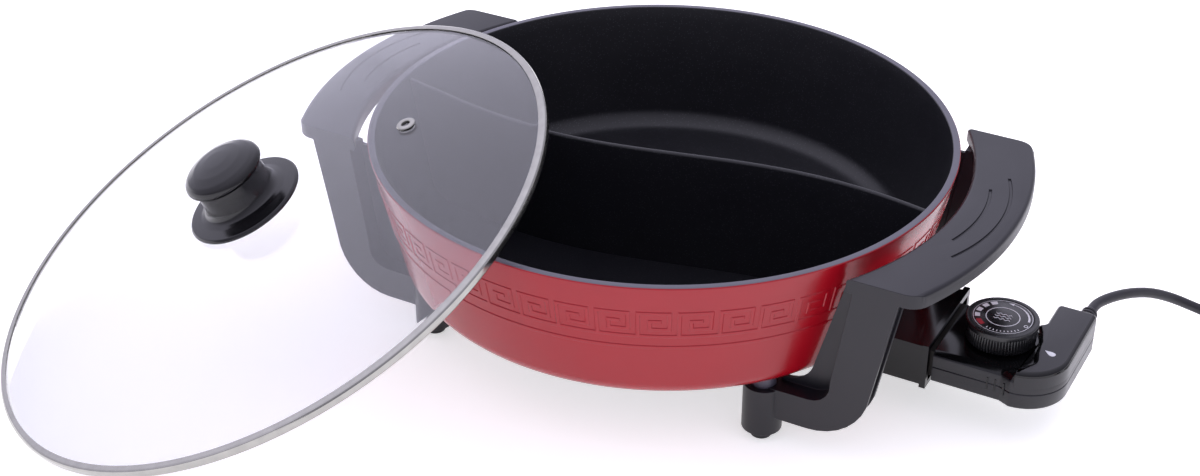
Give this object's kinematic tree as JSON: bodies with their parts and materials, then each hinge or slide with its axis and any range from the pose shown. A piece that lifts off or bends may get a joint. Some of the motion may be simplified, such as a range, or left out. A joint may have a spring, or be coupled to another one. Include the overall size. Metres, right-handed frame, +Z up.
{
  "type": "electric griddle",
  "caption": "Round electric griddle pan with a divided well, two leg-and-foot handles, a domed glass lid, and a plug-in dial controller on a mains cord.",
  "frame": {"origin": "on the pan's axis at table level, midway between the four rubber feet", "axes": "+X to the controller side, +Y to the back, +Z up; the lid leans open on the left"},
  "size_m": [0.7248, 0.4781, 0.1592],
  "materials": {
    "red_enamel": "die-cast aluminium, glossy red enamel outside, dark speckled non-stick inside",
    "pan_coating": "die-cast aluminium, dark non-stick coating",
    "heater_steel": "dark oxidised steel sheath",
    "nickel_steel": "nickel plated",
    "ceramic": "unglazed steatite",
    "brass": "bare",
    "bimetal": "rolled strip",
    "bronze": "spring strip",
    "shroud_plastic": "glossy black moulding",
    "handle_plastic": "satin anthracite moulding",
    "knob_plastic": "satin black moulding",
    "controller_plastic": "satin to glossy near-black moulding",
    "heatproof_plastic": "dark heat-proof moulding",
    "dial_plastic": "satin black moulding",
    "dial_print": "printed disc with white and red marks",
    "cam_plastic": "natural moulding",
    "rubber": "black rubber",
    "cord_rubber": "dark grey flexible cord and mouldings",
    "rim_steel": "polished stainless steel",
    "lid_glass": "clear toughened glass"
  },
  "bodies": {
    "pan": {"pan_body": "red_enamel", "divider": "pan_coating", "heating_element": "heater_steel", "terminal_pins": "nickel_steel", "terminal_insulators": "ceramic", "probe_well": "brass", "earth_tab": "nickel_steel", "socket_shroud": "shroud_plastic", "shroud_screws": "nickel_steel", "handle_right": "handle_plastic", "handle_left": "handle_plastic", "handle_screws": "nickel_steel", "handle_washers": "nickel_steel", "foot_front_right": "rubber", "foot_front_left": "rubber", "foot_rear_right": "rubber", "foot_rear_left": "rubber"},
    "lid": {"lid_glass": "lid_glass", "lid_rim": "rim_steel", "lid_vent": "rim_steel", "knob_base": "knob_plastic", "knob_cap": "knob_plastic", "knob_screw": "nickel_steel", "knob_seals": "rubber"},
    "controller": {"controller_top": "controller_plastic", "controller_bottom": "controller_plastic", "controller_nose": "heatproof_plastic", "contact_sockets": "brass", "sensing_probe": "nickel_steel", "thermostat_frame": "nickel_steel", "bimetal_strip": "bimetal", "contact_blade": "bronze", "contact_rivets": "nickel_steel", "ceramic_spacers": "ceramic", "wire_terminals": "brass", "controller_screws": "nickel_steel", "cord_relief": "cord_rubber", "power_cord": "cord_rubber", "cord_coil": "cord_rubber", "cord_end": "cord_rubber", "plug_body": "cord_rubber", "plug_pins": "brass"},
    "dial": {"dial": "dial_plastic", "dial_face": "dial_print", "dial_spindle": "nickel_steel", "spindle_clip": "nickel_steel", "thermostat_cam": "cam_plastic"}
  },
  "joints": [
    {"name": "lid_lift", "type": "slide", "parent": "pan", "child": "lid", "axis": [0, 0, 1], "range_m": [0, 0.25]},
    {"name": "controller_plug", "type": "slide", "parent": "pan", "child": "controller", "axis": [1, 0, 0], "range_m": [0, 0.08]},
    {"name": "dial_turn", "type": "hinge", "parent": "controller", "child": "dial", "pos_m": [0.206, 0, 0.05], "axis": [0, 0, -1], "range_deg": [0, 245]}
  ]
}
